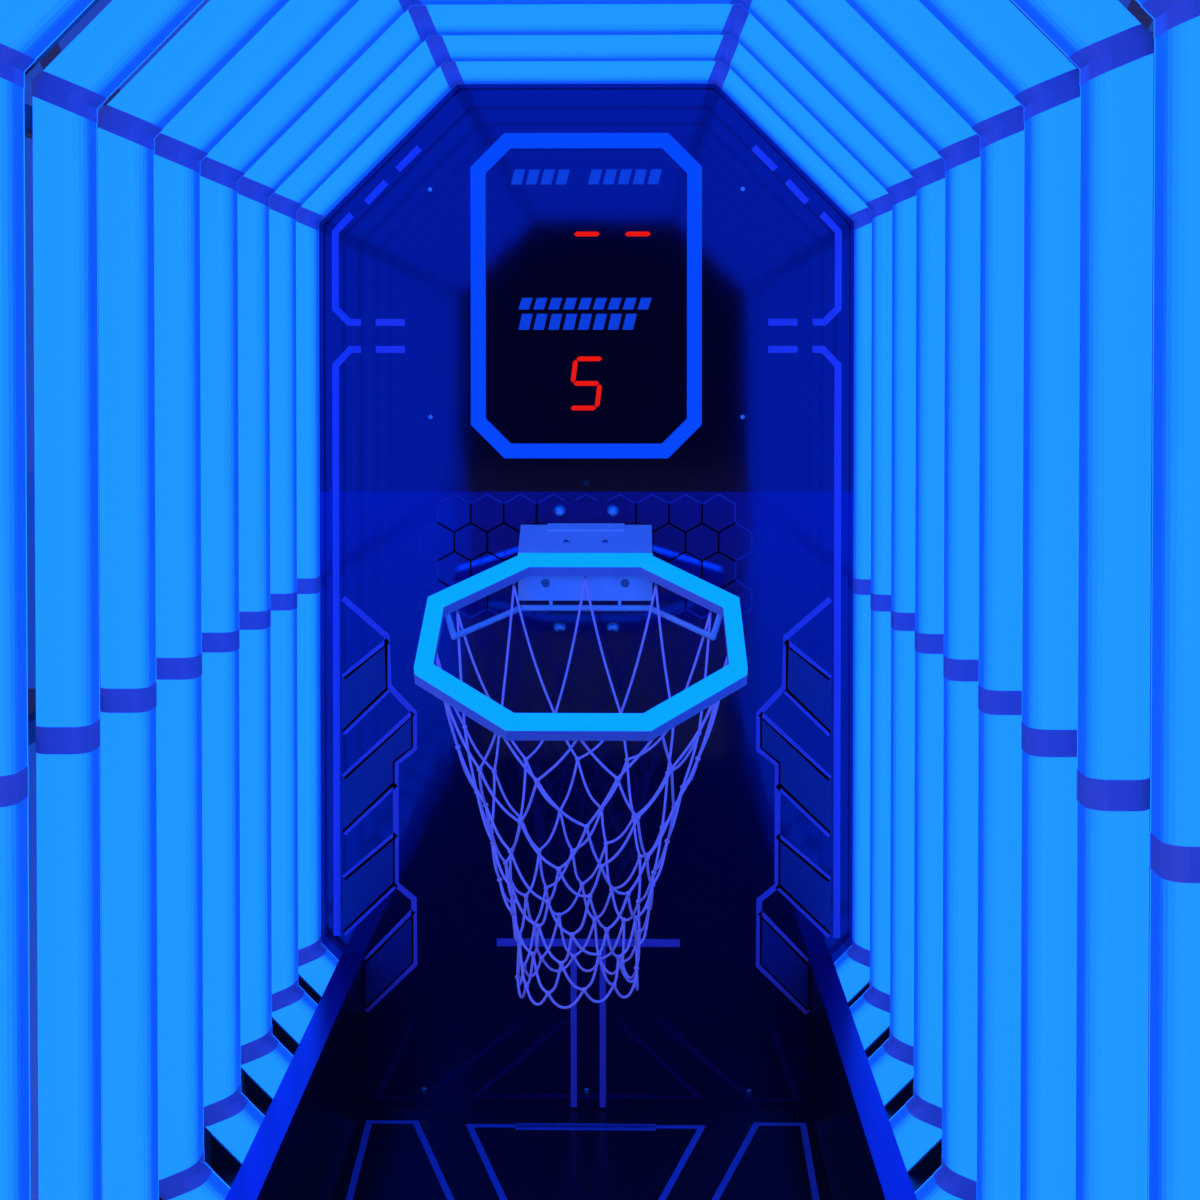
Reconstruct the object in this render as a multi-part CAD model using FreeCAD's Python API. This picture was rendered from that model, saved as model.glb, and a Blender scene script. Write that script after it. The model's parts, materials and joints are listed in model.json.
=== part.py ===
"""Basketball hoop arcade machine: a caged, lit tunnel with a fixed hoop and a ball-return deck.

Row frame, in millimetres: X to the right, Y to the back, Z up.
The origin is on the floor, under the middle of the machine.
Each exported node is a compound of solids that belong to one piece or one set of like pieces.
"""
import math
import os

import FreeCAD
import Part

V = FreeCAD.Vector

# overall
HALF_WIDTH = 592.0
HALF_LENGTH = 1700.0
BOARD = 18.0
TUBE_SECTION = 40.0

# light arches
ARCH_COUNT = 13
ARCH_PITCH = 231.0
ARCH_LAST_Y = 1365.0
TUBE_R = 30.0
TUBE_WALL = 3.0
TUBE_CORNER = 18.0
SLEEVE_HALF = 14.5
SLEEVE_PROUD = 0.5
SLEEVE_WALL = 4.0
AXIS_X = 530.0
AXIS_TOP_Z = 2800.0
CHAMFER_X = 254.0
CHAMFER_Z = 2524.0
MID_Z = 1835.0
KNEE_Z = 1143.0
FOOT_X = 440.0
FOOT_Z = 1053.0
FOOT_END_X = 463.0
FOOT_END_Z = 1054.0
SOCKET_OUT_X = 538.0

# cage
HOOP_IN = 32.0
HOOP_OUT = 44.5
RAIL_OUT = 57.0
SHEET_IN = 58.0
SHEET_OUT = 62.0
HOOP_WIDTH = 40.0
CAGE_FRONT_Y = -1550.0
HOOP_STATIONS = (-1550.0, -828.0, -97.0, 634.0, 1360.0)

# base
FRAME_Z0 = 90.0
FRAME_Z1 = 130.0
SKIRT_Z = 60.0
PANEL_IN_X = HALF_WIDTH - BOARD
SHOULDER_Z0 = 1035.0
SHOULDER_Z1 = 1053.0
CAP_T = 15.0
CAP_BACK_Z = 1132.0
CAP_LEVEL_Z = 1122.0
CAP_LEVEL_Y = 200.0
DECK_HALF = 424.0
KERB_OUT = 458.0
DECK_BACK_Z = 834.0
DECK_SLOPE = 0.07
DECK_FRONT_Y = -1532.0
GATE_HINGE_Y = -700.0
GATE_LENGTH = 190.0
GATE_GAP = 2.0
CONSOLE_LOW_Z = 800.0
CONSOLE_HIGH_Z = 860.0
FRONT_FACE_Y = -1690.0

# back wall
BACK_Y = 1400.0
BACK_T = 12.0
SPLIT_Z = 2007.0
CABINET_Y = BACK_Y + BACK_T
CABINET_BACK = 1694.0

# display
FRAME_CZ = 2375.0
FRAME_HALF_W = 216.5
FRAME_HALF_H = 304.5
FRAME_FACE = 27.0
FRAME_CUT = 63.0
DIGIT_H = 101.6
DIGIT_W = 58.0
SEGMENT = 11.0
CLOCK_X = (-95.0, 1.0, 97.0)
CLOCK_Z = 2492.0
SCORE_Z = 2211.0

# hoop
RING_C = V(0.0, 1050.0, 1794.0)
RING_TILT = 23.2
RING_A = 272.0
RING_FACE = 28.0
DIFFUSER_H = 14.0
CHANNEL_H = 18.0
CHANNEL_WALL = 3.0
BRACKET_X = 123.0
BRACKET_T = 6.0
FACE_LOW_Z = 1813.0
LIP_TOP_Z = 1945.0
LIP_LOW_Z = 1806.0
BRACE_R = 5.5
BRACE_Z = 1799.0
BRACE_X = 118.0
BOLT_X = 50.0
BOLT_Z = 110.0
BOLT_CZ = 1861.5
PLATE_T = 5.0
NET_TOP_R = 232.0
NET_LOW_R = 106.0
NET_LOW_Z = 1200.0
NET_T = 3.0
HOOK_DROP = 10.0

# castors
WHEEL_R = 30.0
WHEEL_W = 22.0
WHEEL_CZ = 33.0
CASTOR_X = 480.0
CASTOR_Y = 1430.0
CASTOR_TRAIL = 20.0

# doors
COIN_W = 260.0
COIN_Z0 = 260.0
COIN_Z1 = 600.0
REAR_W = 600.0
REAR_Z0 = 700.0
REAR_Z1 = 1700.0
DOOR_GAP = 1.0


def box(x0, x1, y0, y1, z0, z1):
    """Box between two corners."""
    return Part.makeBox(x1 - x0, y1 - y0, z1 - z0, V(x0, y0, z0))


def both(shape):
    """A shape and its mirror image across X = 0."""
    return [shape, shape.mirror(V(0, 0, 0), V(1, 0, 0))]


def prism_xz(points, y0, y1):
    """Polygon in X and Z, pulled along Y."""
    loop = [V(x, y0, z) for x, z in points]
    face = Part.Face(Part.makePolygon(loop + [loop[0]]))
    return face.extrude(V(0, y1 - y0, 0))


def prism_yz(points, x0, x1):
    """Polygon in Y and Z, pulled along X."""
    loop = [V(x0, y, z) for y, z in points]
    face = Part.Face(Part.makePolygon(loop + [loop[0]]))
    return face.extrude(V(x1 - x0, 0, 0))


def rod(start, end, radius):
    """Round bar between two points."""
    way = end - start
    return Part.makeCylinder(radius, way.Length, start, way)


def save(node, solids):
    """Write one node as a STEP file."""
    shape = solids[0] if len(solids) == 1 else Part.makeCompound(solids)
    shape.exportStep("parts/" + node + ".step")


def deck_z(y):
    """Height of the deck surface at a depth."""
    return DECK_BACK_Z - DECK_SLOPE * (BACK_Y - y)


# ---------------------------------------------------------------- arch helpers

def arch_corners(offset, low_z):
    """Right half of the arch outline, from the top middle down, at an offset from the tube axis."""
    grow = offset * math.tan(math.radians(22.5))
    return [(0.0, AXIS_TOP_Z + offset), (CHAMFER_X + grow, AXIS_TOP_Z + offset),
            (AXIS_X + offset, CHAMFER_Z + grow), (AXIS_X + offset, low_z)]


def arch_shell(inner, outer, y0, y1, low_z):
    """Five mitred boards that follow the arch between two offsets."""
    a = arch_corners(inner, low_z)
    b = arch_corners(outer, low_z)
    top = [(-a[1][0], a[1][1]), a[1], b[1], (-b[1][0], b[1][1])]
    shoulder = [a[1], a[2], b[2], b[1]]
    side = [a[2], a[3], b[3], b[2]]
    solids = [prism_xz(top, y0, y1)]
    solids += both(prism_xz(shoulder, y0, y1))
    solids += both(prism_xz(side, y0, y1))
    return solids


def arch_fill(offset, low_z):
    """Closed outline of everything inside the arch above a height."""
    half = arch_corners(offset, low_z)[1:]
    return half + [(-x, z) for x, z in reversed(half)]


def arch_stations():
    """Depth of each light arch."""
    return [ARCH_LAST_Y - ARCH_PITCH * k for k in range(ARCH_COUNT)]


def arch_points():
    """Corners and joints of the tube axis, from the left foot over the roof to the right foot."""
    half = [(FOOT_X, FOOT_Z), (AXIS_X, KNEE_Z), (AXIS_X, MID_Z), (AXIS_X, CHAMFER_Z), (CHAMFER_X, AXIS_TOP_Z)]
    return [V(-x, 0, z) for x, z in half] + [V(x, 0, z) for x, z in reversed(half)]


def beyond(point, normal):
    """Big block that fills one side of a plane."""
    block = Part.makeBox(1200, 1200, 1200, V(-600, -600, 0))
    block.Placement = FreeCAD.Placement(point, FreeCAD.Rotation(V(0, 0, 1), normal))
    return block


def joint_plane(index):
    """Plane between two members of the arch: its point and its normal, which runs along the arch."""
    points = arch_points()
    if index == 0:
        return points[0], (points[1] - points[0]).normalize()
    if index == len(points) - 1:
        return points[-1], (points[-1] - points[-2]).normalize()
    before = (points[index] - points[index - 1]).normalize()
    after = (points[index + 1] - points[index]).normalize()
    return points[index], (before + after).normalize()


def member_bar(index, half, corner):
    """Rounded square bar along one member, running past both of its ends."""
    points = arch_points()
    start = points[index]
    way = points[index + 1] - start
    long = way.Length
    bar = Part.makeBox(2 * half, 2 * half, long + 160, V(-half, -half, -80))
    edges = [e for e in bar.Edges if abs(e.Length - long - 160) < 0.1]
    if corner > 0:
        bar = bar.makeFillet(corner, edges)
    turn = math.degrees(math.atan2(way.x, way.z))
    bar.rotate(V(0, 0, 0), V(0, 1, 0), turn)
    bar.translate(start)
    return bar


def cut_ends(bar, index, start_gap, end_gap):
    """Cuts a member's bar at its two joint planes, held back by a gap at each."""
    first, first_way = joint_plane(index)
    last, last_way = joint_plane(index + 1)
    bar = bar.cut(beyond(first + first_way * start_gap, first_way * -1))
    return bar.cut(beyond(last - last_way * end_gap, last_way))


def member_gaps(index):
    """Gap that the sleeves leave at the start and the end of a member."""
    count = len(arch_points()) - 1
    start = 0.0 if index == 0 else SLEEVE_HALF
    end = 0.0 if index == count - 1 else SLEEVE_HALF
    return start, end


def light_tube(index):
    """One milky light tube of an arch."""
    start, end = member_gaps(index)
    outer = cut_ends(member_bar(index, TUBE_R, TUBE_CORNER), index, start, end)
    inner = cut_ends(member_bar(index, TUBE_R - TUBE_WALL, TUBE_CORNER - TUBE_WALL), index, start, end)
    tube = outer.cut(inner)
    if index in (0, len(arch_points()) - 2):
        tube = tube.cut([box(-FOOT_END_X, FOOT_END_X, -100, 100, 0, 1500), box(-600, 600, -100, 100, 0, FOOT_END_Z)])
    return tube


def light_strip(index):
    """Flat strip inside one light tube."""
    points = arch_points()
    way = points[index + 1] - points[index]
    trim = 56.0 if index in (0, len(points) - 2) else 28.0
    strip = Part.makeBox(12, 2, way.Length - 28 - trim, V(-6, -1, trim if index == 0 else 28))
    strip.rotate(V(0, 0, 0), V(0, 1, 0), math.degrees(math.atan2(way.x, way.z)))
    strip.translate(points[index])
    return strip


def sleeve(index):
    """Sleeve at a joint of the arch: a slice of both members, hollow inside."""
    point, way = joint_plane(index)
    half = TUBE_R + SLEEVE_PROUD
    outer = []
    for member in (index - 1, index):
        bar = member_bar(member, half, TUBE_CORNER)
        hole = member_bar(member, half - SLEEVE_WALL, TUBE_CORNER - SLEEVE_WALL)
        side = way * -1 if member == index - 1 else way
        piece = bar.cut(hole).common(beyond(point, side))
        outer.append(piece.cut(beyond(point + side * SLEEVE_HALF, side)))
    return outer[0].fuse(outer[1]).removeSplitter()


def repeat_along(solids):
    """Copies of a set of solids at every light arch."""
    copies = []
    for y in arch_stations():
        for solid in solids:
            copies.append(solid.translated(V(0, y, 0)))
    return copies


def make_tubes(ring_strips):
    """Light tubes, one node per kind, and all the strips inside them and the ring."""
    kinds = {"roof_tubes": (4,), "shoulder_tubes": (3, 5), "upper_side_tubes": (2, 6),
             "lower_side_tubes": (1, 7), "foot_tubes": (0, 8)}
    strips = []
    for node, members in kinds.items():
        save(node, repeat_along([light_tube(member) for member in members]))
        strips += [light_strip(member) for member in members]
    save("light_strips", repeat_along(strips) + ring_strips)


def make_couplers():
    """Pale sleeves that join the tubes."""
    save("tube_couplers", repeat_along([sleeve(index) for index in range(1, len(arch_points()) - 1)]))


def make_sockets():
    """Black wedges on the shelves that carry the foot of each arch."""
    level = FOOT_Z - FOOT_X - TUBE_R * math.sqrt(2) - 2.0
    wedge = [(SHOULDER_Z1 - level, SHOULDER_Z1), (SOCKET_OUT_X, SHOULDER_Z1), (SOCKET_OUT_X, SOCKET_OUT_X + level)]
    save("tube_sockets", repeat_along(both(prism_xz(wedge, -17, 17))))


# ---------------------------------------------------------------- cage

def make_cage():
    """Hoops, long rails and tinted outer sheets of the cage."""
    hoops = []
    for y in HOOP_STATIONS:
        hoops += arch_shell(HOOP_IN, HOOP_OUT, y, y + HOOP_WIDTH, SHOULDER_Z1)
    save("cage_hoops", hoops)
    y1 = BACK_Y
    rails = []
    for z in (KNEE_Z, MID_Z, CHAMFER_Z - 20.0):
        rails += both(box(AXIS_X + HOOP_OUT, AXIS_X + RAIL_OUT, CAGE_FRONT_Y, y1, z - 12.5, z + 12.5))
    rails += both(box(CHAMFER_X - 32.0, CHAMFER_X - 7.0, CAGE_FRONT_Y, y1,
                      AXIS_TOP_Z + HOOP_OUT, AXIS_TOP_Z + RAIL_OUT))
    save("cage_rails", rails)
    save("cage_panels", arch_shell(SHEET_IN, SHEET_OUT, CAGE_FRONT_Y, CABINET_Y, SHOULDER_Z1))


# ---------------------------------------------------------------- base

def make_base_frame():
    """Welded steel box frame with its posts and the four plates the castors swivel in."""
    x0 = PANEL_IN_X - TUBE_SECTION
    y1 = CABINET_BACK - BOARD - 6.0
    y0 = FRONT_FACE_Y + BOARD
    bars = both(box(x0, PANEL_IN_X, y0, y1, FRAME_Z0, FRAME_Z1))
    for y in (y0, -1100.0, -300.0, 500.0, 1180.0, y1 - TUBE_SECTION):
        bars.append(box(-x0, x0, y, y + TUBE_SECTION, FRAME_Z0, FRAME_Z1))
    for y in (-1530.0, -560.0, 420.0, 1340.0):
        bars += both(box(x0, PANEL_IN_X, y, y + TUBE_SECTION, FRAME_Z1, SHOULDER_Z0))
    for y in (-CASTOR_Y, CASTOR_Y):
        seat = box(CASTOR_X - 40.0, PANEL_IN_X, y - 40.0, y + 40.0, FRAME_Z0 - 6.0, FRAME_Z0)
        bars += both(seat.cut(Part.makeCylinder(5.05, 6.0, V(CASTOR_X, y, FRAME_Z0 - 6.0))))
    save("base_frame", bars)


def make_feet():
    """Six screw feet."""
    feet = []
    for y in (-1560.0, 0.0, 1600.0):
        pad = Part.makeCone(30.0, 16.0, 14.0, V(AXIS_X + 24.0, y, 0))
        stem = Part.makeCylinder(6.0, FRAME_Z0 - 14.0, V(AXIS_X + 24.0, y, 14.0))
        nut = Part.makeCylinder(11.0, 8.0, V(AXIS_X + 24.0, y, FRAME_Z0 - 8.0))
        feet += both(pad.fuse([stem, nut]))
    save("levelling_feet", feet)


def make_side_panels():
    """Black lower side boards, stepped down beside the console."""
    main = box(PANEL_IN_X, HALF_WIDTH, CAGE_FRONT_Y, CABINET_Y, SKIRT_Z, SHOULDER_Z0)
    nose = [(-HALF_LENGTH + 6.0, SKIRT_Z), (CAGE_FRONT_Y, SKIRT_Z), (CAGE_FRONT_Y, CONSOLE_HIGH_Z),
            (-HALF_LENGTH + 6.0, CONSOLE_LOW_Z + 2.4)]
    front = prism_yz(nose, PANEL_IN_X, HALF_WIDTH)
    save("side_panels", both(main) + both(front))


def make_shoulders():
    """Shelves that carry the arches and the cage, and kerbs whose metal caps rise a little to the back."""
    shelf = box(DECK_HALF, HALF_WIDTH, CAGE_FRONT_Y, BACK_Y, SHOULDER_Z0, SHOULDER_Z1)
    line = [(CAGE_FRONT_Y, CAP_LEVEL_Z), (CAP_LEVEL_Y, CAP_LEVEL_Z), (BACK_Y, CAP_BACK_Z)]
    under = [(y, z - CAP_T) for y, z in reversed(line)]
    kerb = prism_yz(under + [(CAGE_FRONT_Y, SHOULDER_Z1), (BACK_Y, SHOULDER_Z1)], DECK_HALF, KERB_OUT)
    save("shoulder_shelves", both(shelf) + both(kerb))
    cap = prism_yz(line + under, DECK_HALF - 4.0, KERB_OUT + 4.0)
    save("rail_caps", both(cap))


def gate_axis():
    """Middle of the gate shaft, in Y and Z."""
    return GATE_HINGE_Y, deck_z(GATE_HINGE_Y) - BOARD / 2


def make_deck():
    """Sloping deck in two boards, its side boards and its bearers."""
    hinge_y, hinge_z = gate_axis()
    front_end = hinge_y - BOARD / 2 - GATE_GAP
    rear_start = hinge_y + GATE_LENGTH + GATE_GAP
    boards = []
    for y0, y1 in ((DECK_FRONT_Y, front_end), (rear_start, BACK_Y)):
        profile = [(y0, deck_z(y0)), (y1, deck_z(y1)), (y1, deck_z(y1) - BOARD), (y0, deck_z(y0) - BOARD)]
        boards.append(prism_yz(profile, -DECK_HALF, DECK_HALF))
    side = box(DECK_HALF, DECK_HALF + BOARD, DECK_FRONT_Y, BACK_Y, FRAME_Z1, SHOULDER_Z0)
    bore = Part.makeCylinder(6.05, 2 * DECK_HALF + 200.0, V(-DECK_HALF - 100.0, hinge_y, hinge_z), V(1, 0, 0))
    save("deck_sides", [solid.cut(bore) for solid in both(side)])
    for y in (-1480.0, -800.0, -460.0, 160.0, 760.0, 1350.0):
        profile = [(y, deck_z(y) - BOARD), (y + 40.0, deck_z(y + 40.0) - BOARD),
                   (y + 40.0, deck_z(y) - 90.0), (y, deck_z(y) - 90.0)]
        boards.append(prism_yz(profile, -DECK_HALF, DECK_HALF))
    save("ball_deck", boards)


def make_gate():
    """Ball gate: a flap flush with the deck, its shaft and its geared motor."""
    y, z = gate_axis()
    end = y + GATE_LENGTH
    half = BOARD / 2
    tilt = math.degrees(math.atan(DECK_SLOPE))
    blade = box(-DECK_HALF + 2.0, DECK_HALF - 2.0, 0.0, end - y, -half, half)
    nose = Part.makeCylinder(half, 2 * DECK_HALF - 4.0, V(-DECK_HALF + 2.0, 0, 0), V(1, 0, 0))
    bore = Part.makeCylinder(6.0, 2 * DECK_HALF, V(-DECK_HALF, 0, 0), V(1, 0, 0))
    flap = blade.fuse(nose).removeSplitter().cut(bore)
    flap.rotate(V(0, 0, 0), V(1, 0, 0), tilt)
    flap.translate(V(0, y, z))
    left = -DECK_HALF - BOARD
    right = DECK_HALF + BOARD + 20.0
    save("gate_flap", [flap, Part.makeCylinder(6.0, right - left, V(left, y, z), V(1, 0, 0))])
    x0 = DECK_HALF + BOARD
    gearbox = box(x0, x0 + 30.0, y - 35.0, y + 35.0, z - 45.0, z + 30.0)
    gearbox = gearbox.cut(Part.makeCylinder(6.05, 21.0, V(x0, y, z), V(1, 0, 0)))
    can = Part.makeCylinder(26.0, 52.0, V(x0 + 30.0, y, z - 12.0), V(1, 0, 0))
    save("gate_motor", [gearbox, can])


# ---------------------------------------------------------------- front

def framed(x_half, z0, z1, hole_half, hole_z0, hole_z1, y0, y1):
    """Flat board with a rectangular hole, as four straight boards."""
    return [box(-x_half, x_half, y0, y1, z0, hole_z0), box(-x_half, x_half, y0, y1, hole_z1, z1),
            box(-x_half, -hole_half, y0, y1, hole_z0, hole_z1), box(hole_half, x_half, y0, y1, hole_z0, hole_z1)]


def make_front():
    """Front board, the wall at the end of the deck with the tray before it, and the console top."""
    y0 = FRONT_FACE_Y
    boards = framed(PANEL_IN_X, SKIRT_Z, 804.0, COIN_W / 2, COIN_Z0, COIN_Z1, y0, y0 + BOARD)
    for x in (-380.0, 380.0):
        hole = Part.makeCylinder(50.0, BOARD, V(x, y0, 620.0), V(0, 1, 0))
        boards = [board.cut(hole) for board in boards]
    save("front_panel", boards)
    wall = box(-PANEL_IN_X, PANEL_IN_X, CAGE_FRONT_Y, DECK_FRONT_Y, FRAME_Z1, CONSOLE_HIGH_Z)
    wing = box(DECK_HALF, PANEL_IN_X, CAGE_FRONT_Y, DECK_FRONT_Y, CONSOLE_HIGH_Z, SHOULDER_Z0)
    tray = box(-534.0, 534.0, y0 + BOARD, CAGE_FRONT_Y, FRAME_Z1, FRAME_Z1 + 4.0)
    save("trough_wall", [wall, tray] + both(wing))
    rise = (CONSOLE_HIGH_Z - CONSOLE_LOW_Z) / (CAGE_FRONT_Y + HALF_LENGTH)
    back = CAGE_FRONT_Y
    profile = [(-HALF_LENGTH, CONSOLE_LOW_Z), (back, CONSOLE_HIGH_Z), (back, CONSOLE_HIGH_Z + BOARD),
               (-HALF_LENGTH, CONSOLE_LOW_Z + BOARD)]
    top = prism_yz(profile, -HALF_WIDTH, HALF_WIDTH)
    centre, normal = button_axis(rise)
    top = top.cut(Part.makeCylinder(26.0, 80.0, centre - normal * 40.0, normal))
    save("console_top", [top])
    return centre, normal


def button_axis(rise):
    """Point on the console surface under the start button, and the surface normal."""
    y = (CAGE_FRONT_Y - HALF_LENGTH) / 2
    z = CONSOLE_LOW_Z + BOARD + rise * (y + HALF_LENGTH)
    normal = V(0, -rise, 1)
    normal.normalize()
    return V(0, y, z), normal


def make_button(centre, normal):
    """Start button: fixed bezel with a barrel, and the sprung cap with its stem."""
    bezel = Part.makeCylinder(36.0, 6.0, centre, normal)
    barrel = Part.makeCylinder(25.5, 44.0, centre - normal * 44.0, normal)
    body = bezel.fuse(barrel)
    body = body.cut(Part.makeCylinder(22.3, 36.0, centre - normal * 30.0, normal))
    body = body.cut(Part.makeCylinder(4.05, 20.0, centre - normal * 46.0, normal))
    save("button_bezel", [body])
    cap = Part.makeCylinder(22.0, 24.0, centre - normal * 12.0, normal)
    stem = Part.makeCylinder(4.0, 36.0, centre - normal * 42.0, normal)
    save("start_button", [cap.fuse(stem)])


def make_coin_door():
    """Coin door with its hinge barrels, slot and return cup, its cam lock, and the cash box."""
    half = COIN_W / 2 - DOOR_GAP
    y0 = FRONT_FACE_Y
    leaf = box(-half, half, y0, y0 + 4.0, COIN_Z0 + DOOR_GAP, COIN_Z1 - DOOR_GAP)
    leaf = leaf.cut(box(-2.0, 2.0, y0 - 1.0, y0 + 5.0, 500.0, 530.0))
    leaf = leaf.cut(box(-30.0, 30.0, y0 - 1.0, y0 + 5.0, 320.0, 360.0))
    leaf = leaf.cut(Part.makeCylinder(9.05, 6.0, V(100.0, y0 - 1.0, 430.0), V(0, 1, 0)))
    for z in (300.0, 530.0):
        leaf = leaf.fuse(Part.makeCylinder(3.0, 30.0, V(-half, y0 - 2.9, z)))
    barrel = Part.makeCylinder(9.0, 22.0, V(100.0, y0 - 2.0, 430.0), V(0, 1, 0))
    head = Part.makeCylinder(12.0, 4.0, V(100.0, y0 - 4.2, 430.0), V(0, 1, 0))
    head = head.cut(box(99.0, 101.0, y0 - 5.0, y0 - 2.0, 424.0, 436.0))
    cam = box(93.0, 107.0, y0 + 20.0, y0 + 23.0, 422.0, 474.0)
    save("coin_lock", [barrel.fuse([head, cam])])
    cup = both(box(30.0, 32.0, y0 + 4.0, y0 + 60.0, 316.0, 364.0))
    cup.append(box(-30.0, 30.0, y0 + 4.0, y0 + 60.0, 316.0, 319.0))
    cup.append(box(-30.0, 30.0, y0 + 4.0, y0 + 60.0, 361.0, 364.0))
    cup.append(box(-30.0, 30.0, y0 + 58.0, y0 + 60.0, 319.0, 361.0))
    save("coin_door", [leaf] + cup)
    cash = both(box(107.0, 110.0, y0 + 62.0, y0 + 136.0, 134.0, 300.0))
    cash.append(box(-107.0, 107.0, y0 + 62.0, y0 + 65.0, 134.0, 300.0))
    cash.append(box(-107.0, 107.0, y0 + 133.0, y0 + 136.0, 134.0, 300.0))
    cash.append(box(-107.0, 107.0, y0 + 65.0, y0 + 133.0, 134.0, 137.0))
    save("cash_box", cash)


def speaker(x):
    """Loudspeaker: flange, cone, magnet."""
    y = FRONT_FACE_Y + BOARD
    flange = Part.makeCylinder(62.0, 5.0, V(x, y, 620.0), V(0, 1, 0))
    flange = flange.cut(Part.makeCylinder(46.0, 5.0, V(x, y, 620.0), V(0, 1, 0)))
    cone = Part.makeCone(48.0, 22.0, 34.0, V(x, y + 5.0, 620.0), V(0, 1, 0))
    cone = cone.cut(Part.makeCone(46.0, 20.0, 33.0, V(x, y + 5.0, 620.0), V(0, 1, 0)))
    magnet = Part.makeCylinder(34.0, 18.0, V(x, y + 39.0, 620.0), V(0, 1, 0))
    return flange.fuse([cone, magnet])


def grille(x):
    """Round plate with a ring of sound holes."""
    y = FRONT_FACE_Y - 3.0
    plate = Part.makeCylinder(60.0, 3.0, V(x, y, 620.0), V(0, 1, 0))
    holes = []
    for count, radius in ((6, 15.0), (12, 29.0), (18, 43.0)):
        for i in range(count):
            turn = 2 * math.pi * i / count
            spot = V(x + radius * math.cos(turn), y, 620.0 + radius * math.sin(turn))
            holes.append(Part.makeCylinder(4.0, 3.0, spot, V(0, 1, 0)))
    return plate.cut(holes)


def make_speakers():
    """Two loudspeakers behind round grilles in the front board."""
    save("speakers", [speaker(-380.0), speaker(380.0), grille(-380.0), grille(380.0)])


# ---------------------------------------------------------------- rear cabinet

def make_cabinet():
    """Rear cabinet shell with a door opening, a fan hole and the inlet hole."""
    inner = SHEET_OUT - BOARD
    y1 = CABINET_BACK - BOARD
    shell = arch_shell(inner, SHEET_OUT, CABINET_Y, y1, SKIRT_Z)
    half = REAR_W / 2
    low = box(-half, half, y1, CABINET_BACK, SKIRT_Z, REAR_Z0)
    low = low.cut(Part.makeCylinder(54.0, BOARD, V(0, y1, 400.0), V(0, 1, 0)))
    low = low.cut(box(176.0, 224.0, y1, CABINET_BACK, 236.0, 264.0))
    cheek = box(half, HALF_WIDTH, y1, CABINET_BACK, SKIRT_Z, REAR_Z1)
    head = prism_xz(arch_fill(SHEET_OUT, REAR_Z1), y1, CABINET_BACK)
    floor = box(-534.0, 534.0, CABINET_Y, y1, FRAME_Z1, FRAME_Z1 + 12.0)
    save("rear_cabinet", shell + [low, head, floor] + both(cheek))


def make_rear_door():
    """Rear service door with hinge barrels, and its cam lock."""
    half = REAR_W / 2 - DOOR_GAP
    y0 = CABINET_BACK - BOARD
    leaf = box(-half, half, y0, CABINET_BACK, REAR_Z0 + DOOR_GAP, REAR_Z1 - DOOR_GAP)
    leaf = leaf.cut(Part.makeCylinder(9.05, BOARD, V(262.0, y0, 1200.0), V(0, 1, 0)))
    for z in (780.0, 1180.0, 1580.0):
        knuckle = box(-half, 10.0 - half, CABINET_BACK, CABINET_BACK + 3.0, z, z + 60.0)
        leaf = leaf.fuse([knuckle, Part.makeCylinder(2.9, 60.0, V(-half, CABINET_BACK + 3.1, z))])
    save("rear_door", [leaf])
    barrel = Part.makeCylinder(9.0, BOARD + 6.0, V(262.0, y0 - 4.0, 1200.0), V(0, 1, 0))
    head = Part.makeCylinder(12.0, 3.0, V(262.0, CABINET_BACK + 0.2, 1200.0), V(0, 1, 0))
    head = head.cut(box(261.0, 263.0, CABINET_BACK + 1.2, CABINET_BACK + 5.0, 1194.0, 1206.0))
    cam = box(255.0, 269.0, y0 - 6.0, y0 - 3.0, 1192.0, 1252.0)
    save("rear_lock", [barrel.fuse([head, cam])])


def make_fan():
    """Cooling fan: square frame with a hub on four arms, and a seven-blade rotor."""
    y1 = CABINET_BACK - BOARD
    y0 = y1 - 25.0
    frame = box(-60.0, 60.0, y0, y1, 340.0, 460.0)
    frame = frame.cut(Part.makeCylinder(56.0, 25.0, V(0, y0, 400.0), V(0, 1, 0)))
    arms = [box(-58.0, 58.0, y0, y0 + 3.0, 397.0, 403.0), box(-3.0, 3.0, y0, y0 + 3.0, 342.0, 458.0)]
    hub = Part.makeCylinder(20.0, 4.0, V(0, y0, 400.0), V(0, 1, 0))
    pin = Part.makeCylinder(2.0, 16.0, V(0, y0, 400.0), V(0, 1, 0))
    save("fan_frame", [frame.fuse(arms + [hub, pin])])
    rotor = Part.makeCylinder(20.0, 15.0, V(0, y0 + 5.0, 400.0), V(0, 1, 0))
    for i in range(7):
        blade = box(15.0, 53.0, -1.0, 1.0, -9.0, 9.0)
        blade.rotate(V(0, 0, 0), V(1, 0, 0), 55.0)
        blade.translate(V(0, y0 + 12.5, 400.0))
        blade.rotate(V(0, y0 + 12.5, 400.0), V(0, 1, 0), 360.0 * i / 7)
        rotor = rotor.fuse(blade)
    rotor = rotor.cut(Part.makeCylinder(2.05, 12.0, V(0, y0 + 4.5, 400.0), V(0, 1, 0)))
    save("fan_rotor", [rotor])


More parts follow.
